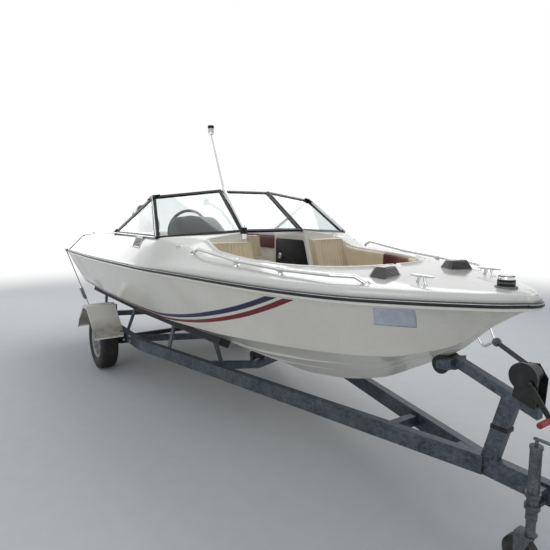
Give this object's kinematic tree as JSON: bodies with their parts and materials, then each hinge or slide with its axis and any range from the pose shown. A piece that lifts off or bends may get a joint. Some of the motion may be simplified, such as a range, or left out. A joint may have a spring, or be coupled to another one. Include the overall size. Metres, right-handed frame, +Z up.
{
  "type": "bow-rider speedboat with outboard motor on its trailer",
  "caption": "Open bow-rider speedboat with a wrap-round windscreen and a tilted outboard motor, parked on its single-axle trailer with winch and jockey wheel.",
  "frame": {"origin": "on the floor under the middle of the whole object's box, at the tyres' contact height", "axes": "+X forward towards bow and trailer coupling, +Y to port, +Z up"},
  "size_m": [6.9378, 2.16, 2.325],
  "materials": {
    "hull_gelcoat": "gloss",
    "deck_gelcoat": "gloss",
    "liner_gelcoat": "satin",
    "rub_rail_vinyl": "satin",
    "cockpit_carpet": "matte",
    "screen_frame_black": "satin",
    "screen_glass": "gloss",
    "dash_black": "matte",
    "helm_black": "satin",
    "control_black": "satin",
    "seat_vinyl": "satin",
    "bolster_vinyl": "satin",
    "stainless_rail": "polished",
    "stainless_cast": "polished",
    "vent_black": "satin",
    "card_plastic": "matte",
    "motor_black": "gloss",
    "motor_propeller": "satin",
    "motor_iron": "matte",
    "cowl_black": "gloss",
    "galvanised": "matte",
    "axle_black": "matte",
    "wheel_steel": "satin",
    "tyre_rubber": "matte",
    "fender_white": "satin",
    "bunk_carpet": "matte",
    "roller_rubber": "satin",
    "winch_black": "satin",
    "winch_steel": "brushed",
    "grip_red": "satin",
    "winch_webbing": "matte",
    "jack_zinc": "satin",
    "jockey_rubber": "matte",
    "lamp_red": "gloss",
    "tie_webbing": "matte",
    "ratchet_steel": "worn"
  },
  "bodies": {
    "root": {"hull": "hull_gelcoat", "deck": "deck_gelcoat", "rub_rail": "rub_rail_vinyl", "cockpit_sole": "cockpit_carpet", "windscreen_frame": "screen_frame_black", "windscreen_glass": "screen_glass", "instrument_hood": "dash_black", "throttle_control": "control_black", "seat_boxes": "liner_gelcoat", "seat_cushions": "seat_vinyl", "seat_backs": "seat_vinyl", "side_bolsters": "bolster_vinyl", "bow_cushions": "seat_vinyl", "bow_backrests": "seat_vinyl", "bow_side_pads": "seat_vinyl", "bow_rails": "stainless_rail", "cleats": "stainless_cast", "deck_vents": "vent_black", "bow_light": "vent_black", "light_pole": "stainless_rail", "bow_eye": "stainless_rail", "bow_card": "card_plastic", "clamp_bracket": "motor_black", "trailer_frame": "galvanised", "coupler": "galvanised", "axle": "axle_black", "fenders": "fender_white", "fender_brackets": "galvanised", "bunks": "bunk_carpet", "bunk_posts": "galvanised", "rollers": "roller_rubber", "winch_post": "galvanised", "winch_frame": "winch_black", "winch_drum": "winch_black", "winch_strap": "winch_webbing", "strap_hook": "winch_steel", "jack_tube": "galvanised", "tail_lamps": "lamp_red", "tie_down_straps": "tie_webbing", "tie_ratchets": "ratchet_steel"},
    "centre_window": {"centre_window_frame": "screen_frame_black", "centre_window_glass": "screen_glass"},
    "helm_wheel": {"helm_wheel": "helm_black"},
    "engine_swivel": {"swivel_bracket": "motor_black"},
    "engine": {"engine_leg": "motor_black", "engine_pan": "motor_black", "engine_cowl": "cowl_black", "engine_block": "motor_iron"},
    "propeller": {"propeller": "motor_propeller"},
    "wheel_port": {"wheel_port": "wheel_steel", "tyre_port": "tyre_rubber"},
    "wheel_starboard": {"wheel_starboard": "wheel_steel", "tyre_starboard": "tyre_rubber"},
    "winch_crank": {"winch_crank": "winch_steel", "crank_grip": "grip_red"},
    "jockey_leg": {"jockey_leg": "jack_zinc"},
    "jockey_fork": {"jockey_fork": "jack_zinc"},
    "jockey_wheel": {"jockey_wheel": "jockey_rubber"}
  },
  "joints": [
    {"name": "engine_tilt", "type": "hinge", "parent": "root", "child": "engine_swivel", "pos_m": [-2.51109, 0, 1.015], "axis": [0, 1, 0], "range_deg": [-42, 23]},
    {"name": "engine_steer", "type": "hinge", "parent": "engine_swivel", "child": "engine", "pos_m": [-2.58169, 0, 1.07857], "axis": [0.6691, 0, 0.7431], "range_deg": [-30, 30]},
    {"name": "propeller_spin", "type": "hinge", "parent": "engine", "child": "propeller", "pos_m": [-3.32542, 0, 0.7861], "axis": [0.7431, 0, -0.6691], "continuous": true},
    {"name": "helm_turn", "type": "hinge", "parent": "root", "child": "helm_wheel", "pos_m": [-0.02753, -0.5, 1.45653], "axis": [-0.9703, 0, 0.2419], "range_deg": [-540, 540]},
    {"name": "centre_window_swing", "type": "hinge", "parent": "root", "child": "centre_window", "pos_m": [0.53991, 0.28, 1.456], "axis": [-0.8032, -0.0803, 0.5902], "range_deg": [0, 150]},
    {"name": "wheel_port_spin", "type": "hinge", "parent": "root", "child": "wheel_port", "pos_m": [-1.30109, 0.913, 0.287], "axis": [0, 1, 0], "continuous": true},
    {"name": "wheel_starboard_spin", "type": "hinge", "parent": "root", "child": "wheel_starboard", "pos_m": [-1.30109, -0.913, 0.287], "axis": [0, 1, 0], "continuous": true},
    {"name": "winch_crank_turn", "type": "hinge", "parent": "root", "child": "winch_crank", "pos_m": [2.64691, -0.09, 0.838], "axis": [0, 1, 0], "continuous": true},
    {"name": "jockey_raise", "type": "slide", "parent": "root", "child": "jockey_leg", "axis": [0, 0, 1], "range_m": [-0.15, 0.07]},
    {"name": "jockey_swivel", "type": "hinge", "parent": "jockey_leg", "child": "jockey_fork", "pos_m": [2.71891, -0.118, 0.17], "axis": [0, 0, 1], "continuous": true},
    {"name": "jockey_spin", "type": "hinge", "parent": "jockey_fork", "child": "jockey_wheel", "pos_m": [2.68091, -0.118, 0.075], "axis": [0, 1, 0], "continuous": true}
  ],
  "couplings": [
    {"joint": "helm_turn", "follows": "engine_steer", "ratio": 18}
  ]
}
